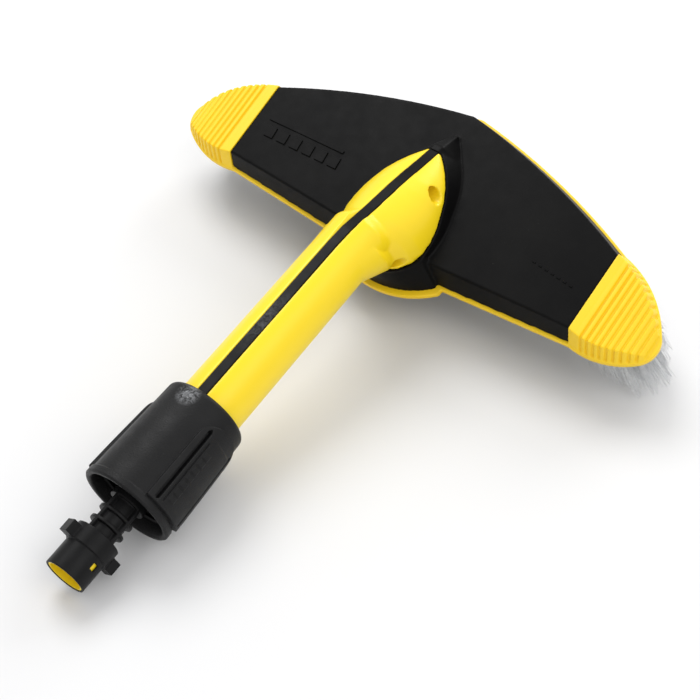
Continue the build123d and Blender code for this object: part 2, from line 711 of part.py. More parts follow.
def ridge_height(y):
    """Height of the arm's top line over the head's base."""
    line = Pos(y, 0) * Line((0, 0), (0, 4 * ARM_Z))
    return (line & ridge_line()).vertices()[0].Y if y > RIDGE_START_Y else None


def seat_height(y):
    """Height of the arm's seat over the head's base."""
    return SEAT_Z + y * tan(radians(SEAT_TILT))


def foot_section(y, bulge, inset):
    """Upright section of the foot: flat on its seat, bulging flanks, a flat top for the strip."""
    half = half_width(FOOT_FACE, y / cos(radians(SEAT_TILT))) - inset
    top_half = STRIP_WIDTH / 2 + 0.2
    low = seat_height(y) - inset
    high = ridge_height(y) - inset
    lean = Vector(high - low, half - top_half).normalized() * bulge
    middle = ((half + top_half) / 2 + lean.X, (low + high) / 2 + lean.Y)
    with BuildSketch(head_section(y)) as section:
        with BuildLine():
            Line((-half, low), (half, low))
            ThreePointArc((half, low), middle, (top_half, high))
            Line((top_half, high), (-top_half, high))
            ThreePointArc((-top_half, high), (-middle[0], middle[1]), (-half, low))
        make_face()
    return section.sketch


def chin_section(inset):
    """Upright section just behind the nose, where the foot's underside climbs to the arm."""
    y = FOOT_BACK_Y + 1.0
    half = 0.3 * FOOT_HALF
    top_half = STRIP_WIDTH / 2 + 0.2
    low = seat_height(y) - inset + 0.5
    high = ridge_height(y) - inset
    with BuildSketch(head_section(y)) as section:
        with BuildLine():
            Line((-half, low), (half, low))
            ThreePointArc((half, low), (ARM_ROOT_R - CHIN_SLIM - inset, high - ARM_ROOT_R / 2), (top_half, high))
            Line((top_half, high), (-top_half, high))
            ThreePointArc((-top_half, high), (CHIN_SLIM + inset - ARM_ROOT_R, high - ARM_ROOT_R / 2), (-half, low))
        make_face()
    return section.sketch


def arm_section(s, radius):
    """Round section of the arm with a narrow flat on top, cut into four edges like the foot's sections."""
    top_half = STRIP_WIDTH / 2 + 0.2
    flat = (radius ** 2 - top_half ** 2) ** 0.5
    low = polar(radius, -62)
    with BuildSketch(ARM.offset(s)) as section:
        with BuildLine():
            ThreePointArc((-low[0], low[1]), (0, -radius - 0.05), low)
            ThreePointArc(low, (radius, 0), (top_half, flat))
            Line((top_half, flat), (-top_half, flat))
            ThreePointArc((-top_half, flat), (-radius, 0), (-low[0], low[1]))
        make_face()
    return section.sketch


def arm_body(inset, front_s):
    """Whole arm with its foot, smaller by a margin, up to a place along it."""
    root_r = ARM_ROOT_R - inset
    front_r = root_r + (ARM_END_R - ARM_ROOT_R) * (front_s - ARM_ROOT_S) / (ARM_END_S - ARM_ROOT_S)
    sections = [arm_section(ARM_ROOT_S, root_r), chin_section(inset)]
    sections += [foot_section(y, bulge, inset) for y, bulge in FLANK_BULGE]
    tube_ends = [arm_section(ARM_ROOT_S, root_r), arm_section(front_s, front_r)]
    return loft(sections=sections, ruled=True) + loft(sections=tube_ends, ruled=True)


def cross_cylinder(screw, radius, start_x, end_x):
    """Cylinder along x at a screw's place in the foot."""
    spot = Locations(screw)
    with BuildSketch(head_side(start_x)) as circle:
        with spot:
            Circle(radius)
    return extrude(circle.sketch, amount=end_x - start_x, dir=(1, 0, 0))


def arm_block(radius, start_s, end_s):
    """Cylinder along the arm's axis between two places."""
    return disc(ARM.offset(start_s), radius, end_s - start_s)


ABOVE_ARM = Plane(origin=ARM.origin, x_dir=(1, 0, 0), z_dir=ARM.y_dir)
PLUG_S = ARM_END_S - PLUG_LENGTH
arm_outside = arm_body(0, ARM_END_S)
arm_inside = arm_body(ARM_WALL, ARM_END_S + 1)
under_strip = arm_body(STRIP_DEPTH, ARM_END_S + 1)
tube_underside = prism(ABOVE_ARM, Pos(0, -(ARM_ROOT_S + ARM_END_S) / 2) * Rectangle(4 * ARM_END_R, 1.4 * ARM_END_S),
                       -2 * ARM_END_R)
strip_room = (arm_outside & slab(0, STRIP_WIDTH + 2 * STRIP_GAP)) - under_strip - tube_underside
front_ring = arm_block(ARM_END_R - ARM_WALL + 0.4, PLUG_S - 3, ARM_END_S) - arm_block(TUBE_R + 0.5, 0, ARM_END_S)
front_ring -= arm_block(NECK_RIB_R + PLUG_FIT, PLUG_S - PLUG_FIT, ARM_END_S)
front_ring -= arm_block(FLANGE_R + PLUG_FIT, FLANGE_S - PLUG_FIT, FLANGE_S + FLANGE_LENGTH + PLUG_FIT)

with BuildPart() as spine_strip:
    add(arm_outside & slab(0, STRIP_WIDTH))
    add(under_strip, mode=Mode.SUBTRACT)
    add(tube_underside, mode=Mode.SUBTRACT)
save(spine_strip.part, "spine_strip")

for side, name in ((1, "arm_right"), (-1, "arm_left")):
    own_side = slab(side * TIP_X / 2, TIP_X)
    shell = arm_outside - arm_inside - strip_room + front_ring
    for screw in (FRONT_SCREW, REAR_SCREW):
        inner_x = TONGUE_HALF + SCREW_GAP
        boss = cross_cylinder(screw, BOSS_R, min(side * inner_x, side * TIP_X), max(side * inner_x, side * TIP_X))
        shell += boss & arm_outside
        shell -= cross_cylinder(screw, SCREW_R + SCREW_GAP, SCREW_TIP_X - SCREW_GAP, SCREW_SEAT_X)
        if side > 0:
            shell -= cross_cylinder(screw, SCREW_WELL_R, SCREW_SEAT_X, TIP_X)
    with BuildPart() as arm_half:
        add(shell & own_side)
    save(arm_half.part, name)

with BuildPart() as arm_screws:
    for screw in (FRONT_SCREW, REAR_SCREW):
        with BuildSketch(head_side(SCREW_TIP_X)):
            with Locations(screw):
                Circle(SCREW_R)
        extrude(amount=SCREW_SEAT_X - SCREW_TIP_X)
        with BuildSketch(head_side(SCREW_SEAT_X)):
            with Locations(screw):
                Circle(SCREW_HEAD_R)
        extrude(amount=SCREW_HEAD_H)
        with BuildSketch(head_side(SCREW_SEAT_X + SCREW_HEAD_H / 2)):
            with Locations(screw):
                RegularPolygon(0.5 * SCREW_HEAD_R, 6)
        extrude(amount=SCREW_HEAD_H, mode=Mode.SUBTRACT)
save(arm_screws.part, "arm_screws")


# ---------------------------------------------------------------- water tube and its seals
def seal(plane, major, minor, centre=(0, 0)):
    """O-ring lying on a plane."""
    with BuildPart(plane) as o_ring:
        with Locations((centre[0], centre[1], 0)):
            Torus(major, minor)
    return o_ring.part


TUBE_FRONT_S = PLUG_S + TUBE_SOCKET - 2 * TUBE_FIT
corner_z = ARM_Z - TUBE_DOWN_Y * ARM_S / ARM_C
with BuildPart() as water_tube:
    with BuildLine(head_side(0)):
        route = FilletPolyline((-TUBE_FRONT_S * ARM_C, ARM_Z + TUBE_FRONT_S * ARM_S), (TUBE_DOWN_Y, corner_z),
                               (TUBE_DOWN_Y, CHANNEL_TOP + TUBE_FIT), radius=TUBE_BEND_R)
    with BuildSketch(Plane(origin=route @ 0, z_dir=route % 0)):
        Circle(TUBE_R)
        Circle(TUBE_BORE_R, mode=Mode.SUBTRACT)
    sweep()
save(water_tube.part, "water_tube")

save(seal(ARM.offset(TUBE_SEAL_S), TUBE_R + SEAL_R, SEAL_R), "tube_seal_front")
save(seal(head_plane(PORT_SEAL_Z), TUBE_R + SEAL_R, SEAL_R, (0, TUBE_DOWN_Y)), "tube_seal_rear")


# ---------------------------------------------------------------- connector
SOCKET_FLOOR_S = TIP_S - SOCKET_DEPTH
NECK_FRONT_S = BAND_S - (NECK_RING_COUNT + 1) * NECK_RING_PITCH
with BuildPart() as connector_body:
    with BuildSketch(ARM.offset(PLUG_S)):
        Circle(NECK_RIB_R)
    extrude(amount=NECK_FRONT_S - PLUG_S)
    with BuildSketch(ARM.offset(FLANGE_S)):
        Circle(FLANGE_R)
    extrude(amount=FLANGE_LENGTH)
    with BuildSketch(ARM.offset(NECK_FRONT_S)):
        Circle(NECK_R)
        with PolarLocations(0, 4, start_angle=NECK_RIB_TURN):
            Rectangle(NECK_RIB_R, NECK_RIB_WIDTH, align=(Align.MIN, Align.CENTER))
    extrude(amount=BAND_S - NECK_FRONT_S)
    for i in range(NECK_RING_COUNT):
        with BuildSketch(ARM.offset(BAND_S - (i + 1) * NECK_RING_PITCH)):
            Circle(NECK_RIB_R)
        extrude(amount=NECK_RING_WIDTH)
    with BuildSketch(ARM.offset(BAND_S)):
        Circle(BAND_R)
    extrude(amount=BAND_LENGTH)
    with BuildSketch(ARM.offset(BAND_S)):
        Circle(NIPPLE_R)
    extrude(amount=TIP_S - BAND_S)
    with BuildSketch(ARM.offset(LUG_S - LUG_LENGTH / 2)):
        with PolarLocations(0, 2, start_angle=LUG_TURN):
            Rectangle(LUG_R, LUG_WIDTH, align=(Align.MIN, Align.CENTER))
    extrude(amount=LUG_LENGTH)
    with BuildSketch(ARM.offset(SOCKET_FLOOR_S)):
        Circle(NIPPLE_BORE_R)
    extrude(amount=SOCKET_DEPTH, mode=Mode.SUBTRACT)
    with BuildSketch(ARM.offset(PLUG_S)):
        Circle(SPOUT_R)
    extrude(amount=TIP_S - PLUG_S, mode=Mode.SUBTRACT)
    with BuildSketch(ARM.offset(PLUG_S)):
        Circle(TUBE_R + TUBE_FIT)
    extrude(amount=TUBE_SOCKET, mode=Mode.SUBTRACT)
    with BuildSketch(ARM.offset(TUBE_SEAL_S - SEAL_R)):
        Circle(TUBE_R + 2 * SEAL_R)
    extrude(amount=2 * SEAL_R, mode=Mode.SUBTRACT)
    with BuildSketch(ARM.offset(WINDOW_S - WINDOW_LENGTH / 2)):
        with PolarLocations(0, 1, start_angle=WINDOW_TURN):
            Rectangle(2 * NIPPLE_R, WINDOW_WIDTH, align=(Align.MIN, Align.CENTER))
    extrude(amount=WINDOW_LENGTH, mode=Mode.SUBTRACT)
save(connector_body.part, "connector_body")

LINER_FRONT_S = TIP_S - LINER_SET_BACK
save(ring(ARM.offset(LINER_FRONT_S - LINER_LENGTH), NIPPLE_BORE_R - LINER_FIT, LINER_BORE_R, LINER_LENGTH),
     "connector_liner")
save(seal(ARM.offset(SOCKET_FLOOR_S + INLET_SEAL_HALF), INLET_SEAL_R, INLET_SEAL_HALF), "inlet_seal")


# ---------------------------------------------------------------- stop ring, washer and union nut
NUT_BACK_S = NUT_FRONT_S - NUT_LENGTH
NUT_FLANGE_S = NUT_BACK_S + NUT_FLANGE
STOP_S = NUT_FLANGE_S + WASHER_THICKNESS + 2 * PLAY

with BuildPart() as stop_ring:
    with BuildSketch(ARM.offset(STOP_S)):
        Circle(STOP_R)
        Circle(ARM_END_R + STOP_FIT, mode=Mode.SUBTRACT)
    extrude(amount=STOP_LENGTH)
    chamfer(stop_ring.edges().filter_by(GeomType.CIRCLE).sort_by(Axis(ARM.origin, ARM.z_dir))[-2:], length=0.6)
save(stop_ring.part, "stop_ring")

save(ring(ARM.offset(NUT_FLANGE_S + PLAY), WASHER_OUT_R, ARM_END_R + NUT_RUN_GAP, WASHER_THICKNESS), "thrust_washer")


def sector(angle, half_angle, radius):
    """Pie slice about the arm's axis."""
    with BuildSketch() as face:
        with BuildLine():
            corners = [polar(radius, angle + step * half_angle) for step in (-1, 0, 1)]
            Polyline((0, 0), *corners, close=True)
        make_face()
    return face.sketch


def cone(start_s, end_s, start_r, end_r):
    """Plain cone along the arm's axis."""
    with BuildPart() as piece:
        with BuildSketch(ARM.offset(start_s)):
            Circle(start_r)
        with BuildSketch(ARM.offset(end_s)):
            Circle(end_r)
        loft(ruled=True)
    return piece.part


RIM_S = NUT_FRONT_S - NUT_RIM
cone_front_r = NUT_FRONT_R - NUT_RIM_OUT
wing_start_s = NUT_BACK_S + WING_BACK
wing_start_r = NUT_BACK_R + (cone_front_r - NUT_BACK_R) * WING_BACK / (NUT_LENGTH - NUT_RIM)
wings = [prism(ARM.offset(wing_start_s), sector(WING_TURN + turn, WING_ANGLE, 2 * NUT_FRONT_R), RIM_S - wing_start_s)
         for turn in (0, 180)]
wing_skin = cone(wing_start_s, RIM_S, wing_start_r + WING_OUT, cone_front_r + WING_OUT)
nut_cone = cone(NUT_BACK_S, NUT_FRONT_S, NUT_BACK_R, cone_front_r)
wing_blocks = wing_skin & (wings[0] + wings[1])

with BuildPart() as union_nut:
    add(nut_cone)
    fillet(union_nut.edges().filter_by(GeomType.CIRCLE).sort_by(Axis(ARM.origin, ARM.z_dir))[0], NUT_BACK_ROUND)
    with BuildSketch(ARM.offset(RIM_S)):
        Circle(NUT_FRONT_R)
    extrude(amount=NUT_RIM)
    chamfer(union_nut.edges().filter_by(GeomType.CIRCLE).sort_by(Axis(ARM.origin, ARM.z_dir))[-1], length=NUT_CHAMFER)
    add(wing_blocks)
    with BuildSketch(ARM.offset(wing_start_s + 3.0)):
        for turn in (0, 180):
            with PolarLocations(0, 1, start_angle=WING_TURN + turn - SLOT_ANGLE):
                with Locations((cone_front_r + WING_OUT - SLOT_DEPTH, 0)):
                    Rectangle(2 * SLOT_DEPTH, SLOT_WIDTH, align=(Align.MIN, Align.CENTER))
            with PolarLocations(0, 1, start_angle=WING_TURN + turn + SLOT_ANGLE):
                with Locations((cone_front_r + WING_OUT - SLOT_DEPTH, 0)):
                    Rectangle(2 * SLOT_DEPTH, SLOT_WIDTH, align=(Align.MIN, Align.CENTER))
    extrude(amount=RIM_S - wing_start_s - 5.0, mode=Mode.SUBTRACT)
    with BuildSketch(ARM.offset(NUT_BACK_S)):
        Circle(ARM_END_R + NUT_RUN_GAP)
    extrude(amount=NUT_LENGTH, mode=Mode.SUBTRACT)
    with BuildSketch(ARM.offset(NUT_FLANGE_S)):
        Circle(NUT_BORE_R)
    extrude(amount=NUT_LENGTH, mode=Mode.SUBTRACT)
    for i in range(THREAD_TURNS):
        with BuildSketch(ARM.offset(NUT_FRONT_S - THREAD_START - i * THREAD_PITCH)):
            Circle(NUT_BORE_R)
            Circle(THREAD_R, mode=Mode.SUBTRACT)
        extrude(amount=-THREAD_WIDTH)
save(union_nut.part, "union_nut")
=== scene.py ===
import bpy
import json
import math
import numpy as np
from mathutils import Matrix, Vector
from mathutils.bvhtree import BVHTree


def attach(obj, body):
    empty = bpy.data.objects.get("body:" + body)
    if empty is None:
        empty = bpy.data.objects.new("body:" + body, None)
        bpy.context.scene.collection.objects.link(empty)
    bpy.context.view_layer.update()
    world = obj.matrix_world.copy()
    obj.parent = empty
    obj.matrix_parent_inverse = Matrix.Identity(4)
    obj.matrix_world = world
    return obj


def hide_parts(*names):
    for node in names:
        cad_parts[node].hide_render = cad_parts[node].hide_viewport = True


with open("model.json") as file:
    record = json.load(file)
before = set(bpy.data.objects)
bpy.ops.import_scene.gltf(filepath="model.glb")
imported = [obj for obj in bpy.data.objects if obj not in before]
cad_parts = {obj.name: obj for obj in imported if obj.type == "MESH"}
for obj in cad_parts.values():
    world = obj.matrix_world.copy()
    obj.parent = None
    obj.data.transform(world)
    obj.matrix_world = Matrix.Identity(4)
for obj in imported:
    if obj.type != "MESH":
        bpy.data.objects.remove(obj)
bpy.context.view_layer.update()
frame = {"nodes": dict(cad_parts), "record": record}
nodes = frame["nodes"]
rng = np.random.default_rng(7)

# Frames of the CAD model, in metres: the head (x along it, y to its far edge, z out of its top)
# and the arm (x, up, and s along the arm to the inlet). Sizes below are millimetres in these frames.
HEAD_AT = np.array((0.0, 0.108470632, 0.045354906))
HEAD_AXES = np.array(((1.0, 0.0, 0.0), (0.0, 0.91128, 0.411788), (0.0, -0.411788, 0.91128)))
ARM_AT = np.array((0.0, 0.095499317, 0.074060219))
ARM_AXES = np.array(((1.0, 0.0, 0.0), (0.0, -0.217755, 0.976004), (0.0, -0.976004, -0.217755)))
MM = 0.001


def from_head(points):
    """Head-frame millimetres to metres in the model's frame."""
    return HEAD_AT + np.atleast_2d(points) @ HEAD_AXES * MM


def from_arm(points):
    """Arm-frame millimetres (x, up, along) to metres in the model's frame."""
    return ARM_AT + np.atleast_2d(points) @ ARM_AXES * MM


# ---------------------------------------------------------------- materials
class Nodes:
    """A material's node tree, built with short calls."""

    def __init__(self, name):
        self.material = bpy.data.materials.new(name)
        self.material.use_nodes = True
        self.tree = self.material.node_tree
        self.shader = self.tree.nodes["Principled BSDF"]
        self.coords = self.tree.nodes.new("ShaderNodeTexCoord").outputs["Object"]

    def add(self, kind, **values):
        node = self.tree.nodes.new(kind)
        for key, value in values.items():
            setattr(node, key, value)
        return node

    def link(self, a, b):
        self.tree.links.new(a, b)

    def noise(self, scale, detail=3.0, rough=0.5, distortion=0.0, stretch=None):
        node = self.add("ShaderNodeTexNoise")
        node.inputs["Scale"].default_value = scale
        node.inputs["Detail"].default_value = detail
        node.inputs["Roughness"].default_value = rough
        node.inputs["Distortion"].default_value = distortion
        source = self.coords
        if stretch:
            mapping = self.add("ShaderNodeMapping")
            mapping.inputs["Scale"].default_value = stretch
            self.link(source, mapping.inputs["Vector"])
            source = mapping.outputs["Vector"]
        self.link(source, node.inputs["Vector"])
        return node.outputs["Fac"]

    def ramp(self, source, low, high, from_low=0.3, from_high=0.7):
        node = self.add("ShaderNodeMapRange")
        for key, value in (("From Min", from_low), ("From Max", from_high),
                           ("To Min", low), ("To Max", high)):
            node.inputs[key].default_value = value
        self.link(source, node.inputs["Value"])
        return node.outputs["Result"]

    def mix(self, factor, a, b):
        node = self.add("ShaderNodeMix", data_type="RGBA")
        self.link(factor, node.inputs["Factor"])
        for socket, value in ((node.inputs["A"], a), (node.inputs["B"], b)):
            if isinstance(value, tuple):
                socket.default_value = (*value, 1.0)
            else:
                self.link(value, socket)
        return node.outputs["Result"]

    def multiply(self, a, b):
        node = self.add("ShaderNodeMath", operation="MULTIPLY")
        self.link(a, node.inputs[0])
        if isinstance(b, float):
            node.inputs[1].default_value = b
        else:
            self.link(b, node.inputs[1])
        return node.outputs[0]

    def larger(self, a, b):
        node = self.add("ShaderNodeMath", operation="MAXIMUM")
        self.link(a, node.inputs[0])
        self.link(b, node.inputs[1])
        return node.outputs[0]

    def near(self, point, radius, soft):
        """One close to a point in the model, zero further out."""
        node = self.add("ShaderNodeVectorMath", operation="DISTANCE")
        self.link(self.coords, node.inputs[0])
        node.inputs[1].default_value = tuple(float(v) for v in point)
        return self.ramp(node.outputs["Value"], 1.0, 0.0, radius - soft, radius + soft)

    def bump(self, *layers):
        previous = None
        for source, distance, strength in layers:
            node = self.add("ShaderNodeBump")
            node.inputs["Distance"].default_value = distance
            node.inputs["Strength"].default_value = strength
            self.link(source, node.inputs["Height"])
            if previous:
                self.link(previous, node.inputs["Normal"])
            previous = node.outputs["Normal"]
        self.link(previous, self.shader.inputs["Normal"])


def moulded(name, colour, other, roughness, spread, grain, depth,
            dust=None, scuffs=(), coat=0.0, specular=0.5):
    """Moulded plastic or rubber: two near colours, uneven gloss, fine grain, dust and scuffed places."""
    m = Nodes(name)
    cloud = m.ramp(m.noise(28.0, 5.0, 0.6), 0.0, 1.0)
    shade = m.mix(cloud, colour, other)
    if dust:
        specks = m.ramp(m.noise(900.0, 2.0, 0.5), 0.0, 0.55, 0.70, 0.80)
        patch = m.ramp(m.noise(60.0, 4.0, 0.6), 0.0, 1.0, 0.50, 0.68)
        shade = m.mix(m.multiply(specks, patch), shade, dust)
    worn = None
    for point, radius, strength in scuffs:
        streaks = m.ramp(m.noise(420.0, 6.0, 0.7, 1.2), 0.0, strength, 0.40, 0.66)
        spot = m.multiply(m.near(point, radius, radius * 0.7), streaks)
        worn = m.larger(worn, spot) if worn else spot
    if worn:
        shade = m.mix(worn, shade, SCUFF_GREY)
    m.link(shade, m.shader.inputs["Base Color"])
    gloss = m.ramp(m.noise(140.0, 4.0, 0.6), roughness - spread, roughness + spread, 0.3, 0.7)
    m.link(gloss, m.shader.inputs["Roughness"])
    m.shader.inputs["Specular IOR Level"].default_value = specular
    m.shader.inputs["Coat Weight"].default_value = coat
    m.shader.inputs["Coat Roughness"].default_value = 0.25
    m.bump((m.noise(grain, 2.0, 0.5), depth, 0.6), (m.noise(45.0, 3.0, 0.5), 0.00012, 0.25))
    return m.material


def metal(name, colour, roughness):
    """Plated steel or turned brass with fine turning marks."""
    m = Nodes(name)
    darker = tuple(0.7 * c for c in colour)
    m.link(m.mix(m.ramp(m.noise(300.0), 0.0, 1.0), colour, darker), m.shader.inputs["Base Color"])
    m.shader.inputs["Metallic"].default_value = 1.0
    m.link(m.ramp(m.noise(900.0), roughness - 0.08, roughness + 0.1), m.shader.inputs["Roughness"])
    m.bump((m.noise(1500.0, 2.0, 0.5, 0.0, (1.0, 6.0, 1.0)), 0.00002, 0.4))
    return m.material


def filament(name):
    """Pale flagged filaments: slightly different greys along and between them, a soft sheen."""
    m = Nodes(name)
    tone = m.ramp(m.noise(700.0, 3.0, 0.6), 0.0, 1.0)
    m.link(m.mix(tone, (0.62, 0.64, 0.66), (0.86, 0.87, 0.88)), m.shader.inputs["Base Color"])
    m.link(m.ramp(m.noise(300.0), 0.42, 0.62), m.shader.inputs["Roughness"])
    m.shader.inputs["Sheen Weight"].default_value = 0.25
    m.bump((m.noise(2500.0), 0.00002, 0.3))
    return m.material


BLACK = (0.0022, 0.0022, 0.0024)
BLACK_WARM = (0.0048, 0.0047, 0.0046)
DUST = (0.042, 0.042, 0.043)
SCUFF_GREY = (0.42, 0.43, 0.45)
strip_scuff = (from_arm(((0.0, 16.2, 118.0),))[0], 0.012, 0.16)
nut_scuff = (from_arm(((-2.0, 22.0, 174.0),))[0], 0.0042, 0.75)


def plain(name, *rest, **more):
    """One row of the table of looks."""
    return name, moulded(name, *rest, **more)


looks = dict((
    plain("black_shell", BLACK, BLACK_WARM, 0.40, 0.06, 2600.0, 0.00006, DUST, specular=0.07),
    plain("black_strip", BLACK, BLACK_WARM, 0.36, 0.06, 2200.0, 0.00004, DUST, (strip_scuff,), specular=0.09),
    plain("black_nut", (0.005, 0.005, 0.0053), (0.010, 0.010, 0.0104), 0.46, 0.07, 1500.0, 0.00030,
          DUST, (nut_scuff,), specular=0.18),
    plain("black_connector", (0.0035, 0.0035, 0.0038), (0.007, 0.007, 0.0073), 0.40, 0.08, 1500.0, 0.00008,
          DUST, specular=0.15),
    plain("black_plate", BLACK, BLACK_WARM, 0.55, 0.06, 1500.0, 0.00008, DUST, specular=0.1),
    plain("yellow_plastic", (0.95, 0.70, 0.012), (0.94, 0.68, 0.011), 0.34, 0.03, 1400.0, 0.00002,
          None, (), 0.1, 0.4),
    plain("yellow_rubber", (0.95, 0.65, 0.007), (0.92, 0.61, 0.006), 0.50, 0.06, 2000.0, 0.00005),
    plain("grey_plastic", (0.010, 0.010, 0.0105), (0.014, 0.014, 0.0145), 0.5, 0.05, 1500.0, 0.00005,
          specular=0.15),
    plain("seal_rubber", (0.010, 0.010, 0.010), (0.016, 0.016, 0.016), 0.6, 0.05, 1500.0, 0.00004),
    plain("tube_rubber", (0.014, 0.014, 0.014), (0.02, 0.02, 0.02), 0.5, 0.05, 1200.0, 0.00005),
    ("steel", metal("steel", (0.62, 0.62, 0.60), 0.32)),
    ("brass_nozzle", metal("brass_nozzle", (0.78, 0.60, 0.28), 0.3)),
    ("bristles", filament("bristles")),
))
slot_of = {part["node"]: part["material_slot"] for part in frame["record"]["subparts"]}
for node_name, obj in nodes.items():
    obj.data.materials.clear()
    obj.data.materials.append(looks[slot_of[node_name]])


# ---------------------------------------------------------------- pieces
def piece_from(name, mesh, body, slot, stands_for=()):
    """Puts a finished mesh in the scene as a piece that rides on a body."""
    obj = bpy.data.objects.new(name, mesh)
    bpy.context.scene.collection.objects.link(obj)
    obj.data.materials.clear()
    obj.data.materials.append(looks[slot])
    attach(obj, body)
    if stands_for:
        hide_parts(*stands_for)
    return obj


def smooth(mesh):
    mesh.polygons.foreach_set("use_smooth", np.ones(len(mesh.polygons), bool))


def rounded_copy(node, voxel, rounds):
    """A node's mesh with its sharp corners melted to moulded radii."""
    work = bpy.data.objects.new("work", nodes[node].data.copy())
    bpy.context.scene.collection.objects.link(work)
    remesh = work.modifiers.new("remesh", "REMESH")
    remesh.mode = "VOXEL"
    remesh.voxel_size = voxel
    relax = work.modifiers.new("relax", "SMOOTH")
    relax.factor = 0.5
    relax.iterations = rounds
    bpy.context.view_layer.update()
    mesh = bpy.data.meshes.new_from_object(work.evaluated_get(bpy.context.evaluated_depsgraph_get()))
    bpy.data.objects.remove(work)
    smooth(mesh)
    return mesh


def closed_tube(name, rings):
    """Quad mesh through closed rings of points, the last ring joined to the first."""
    count, around = rings.shape[:2]
    a = np.arange(count * around).reshape(count, around)
    b = np.roll(a, -1, axis=1)
    quads = np.stack((a, b, np.roll(b, -1, axis=0), np.roll(a, -1, axis=0)), axis=-1)
    mesh = bpy.data.meshes.new(name)
    mesh.from_pydata(rings.reshape(-1, 3).tolist(), [], quads.reshape(-1, 4).tolist())
    mesh.update()
    smooth(mesh)
    return mesh


def step(value, edge, soft):
    """Zero below an edge, one above it, with a smooth change between."""
    t = np.clip((value - edge) / soft + 0.5, 0.0, 1.0)
    return t * t * (3.0 - 2.0 * t)


piece_from("shell_top", rounded_copy("head_shell", 0.0006, 4), "head", "black_shell", ("head_shell",))
piece_from("rim_and_caps", rounded_copy("bumper", 0.0004, 6), "head", "yellow_rubber", ("bumper",))

ARM_R = 16.1                    # the arm's root
STRIP_HALF = 3.4                # the strip and its groove
NECK_FROM, NECK_TO = 42.0, 66.0     # where the arm runs into its foot


def arm_half(node):
    """A rounded arm half whose round outside runs on straight into the foot's flank."""
    mesh = rounded_copy(node, 0.0005, 14)
    flat = np.empty(len(mesh.vertices) * 3)
    mesh.vertices.foreach_get("co", flat)
    x, up, s = ((flat.reshape(-1, 3) - ARM_AT) @ ARM_AXES.T / MM).T
    r = np.hypot(x, up)
    mesh.vertex_normals.foreach_get("vector", flat)
    facing = flat.reshape(-1, 3) @ ARM_AXES.T
    outward = (facing[:, 0] * x + facing[:, 1] * up) / np.maximum(r, 1.0)
    off_strip = (np.abs(x) > STRIP_HALF) | (up < 0.0)
    outside = step(outward, 0.35, 0.3) * (r > ARM_R - 6.0) * (r < ARM_R) * off_strip
    weight = step(s, NECK_FROM, 9.0) * (1.0 - step(s, NECK_TO, 5.0)) * outside
    scale = 1.0 + weight * (ARM_R / np.maximum(r, 1.0) - 1.0)
    mesh.vertices.foreach_set("co", from_arm(np.column_stack((x * scale, up * scale, s))).ravel())
    mesh.update()
    return mesh


piece_from("arm_shell_left", arm_half("arm_left"), "head", "yellow_plastic", ("arm_left",))
piece_from("arm_shell_right", arm_half("arm_right"), "head", "yellow_plastic", ("arm_right",))
piece_from("top_strip", rounded_copy("spine_strip", 0.0003, 4), "head", "black_strip", ("spine_strip",))
piece_from("inlet_body", rounded_copy("connector_body", 0.00025, 4), "head", "black_connector",
           ("connector_body",))


# Union nut: a turned profile whose outside carries two arched grips.
NUT_BACK, NUT_RIM, NUT_FRONT = 168.4, 226.0, 230.2
BACK_R = 22.0
BACK_ROUND = 3.0
FRONT_CHAMFER = 0.8
WING_MIDDLES = (17.75, 197.75)      # degrees about the arm
WING_HALF = 35.0                    # degrees from a wing's middle to its edge
SLOT_AT = 24.75                     # degrees from a wing's middle to its slots
ARCH_FRONT, ARCH_DEPTH = 186.5, 10.0
BAR_PITCH = 4.4


def between(s, start, start_soft, end, end_soft):
    """One between two places along the arm, with soft ends."""
    return step(s, start, start_soft) * (1.0 - step(s, end, end_soft))


def nut_outside(s, angle):
    """Radius of the nut's outside over the arm's axis."""
    cone = BACK_R + 2.0 * (s - NUT_BACK) / (NUT_RIM - NUT_BACK)
    into_round = np.clip(NUT_BACK + BACK_ROUND - s, 0.0, BACK_ROUND)
    cone = cone - BACK_ROUND + np.sqrt(np.clip(BACK_ROUND ** 2 - into_round ** 2, 0.0, BACK_ROUND ** 2))
    radius = cone + 0.7 * step(s, NUT_RIM, 0.9)
    radius = radius - FRONT_CHAMFER * np.clip((s - NUT_FRONT + FRONT_CHAMFER) / FRONT_CHAMFER, 0.0, 1.0)
    before_rim = 1.0 - step(s, 225.6, 0.8)
    arch = np.sqrt(np.clip(1.0 - np.clip((ARCH_FRONT - s) / ARCH_DEPTH, 0.0, 1.0) ** 2, 0.0, 1.0))
    slot_ends = np.clip((s - 181.0) / 2.0, 0.0, 1.0) * np.clip(224.2 - s, 0.0, 1.0)
    bars = ((s - 191.0) % BAR_PITCH < 3.2) & (s > 191.0) & (s < 221.5)
    for middle in WING_MIDDLES:
        off = (angle - middle + 180.0) % 360.0 - 180.0
        side = np.abs(off)
        wing = step(WING_HALF * arch - side, 0.0, 1.5) * step(s, ARCH_FRONT - ARCH_DEPTH + 0.1, 0.6)
        radius = radius + wing * before_rim * (2.0 + 0.5 * step(s, 196.0, 40.0))
        slot = step(2.3 * slot_ends - np.abs(side - SLOT_AT), 0.0, 1.5) * slot_ends
        radius = radius - 3.2 * slot * before_rim
        radius = radius + 0.35 * step(22.2 - side, 0.0, 1.2) * step(s, 184.0, 1.0) * before_rim
        radius = radius + 0.5 * step(4.0 - np.abs(off - 10.0), 0.0, 1.2) * bars
        radius = radius - 0.8 * step(0.9 - np.abs(off - 17.5), 0.0, 1.0) * between(s, 187.0, 1.5, 223.0, 1.5)
    return radius


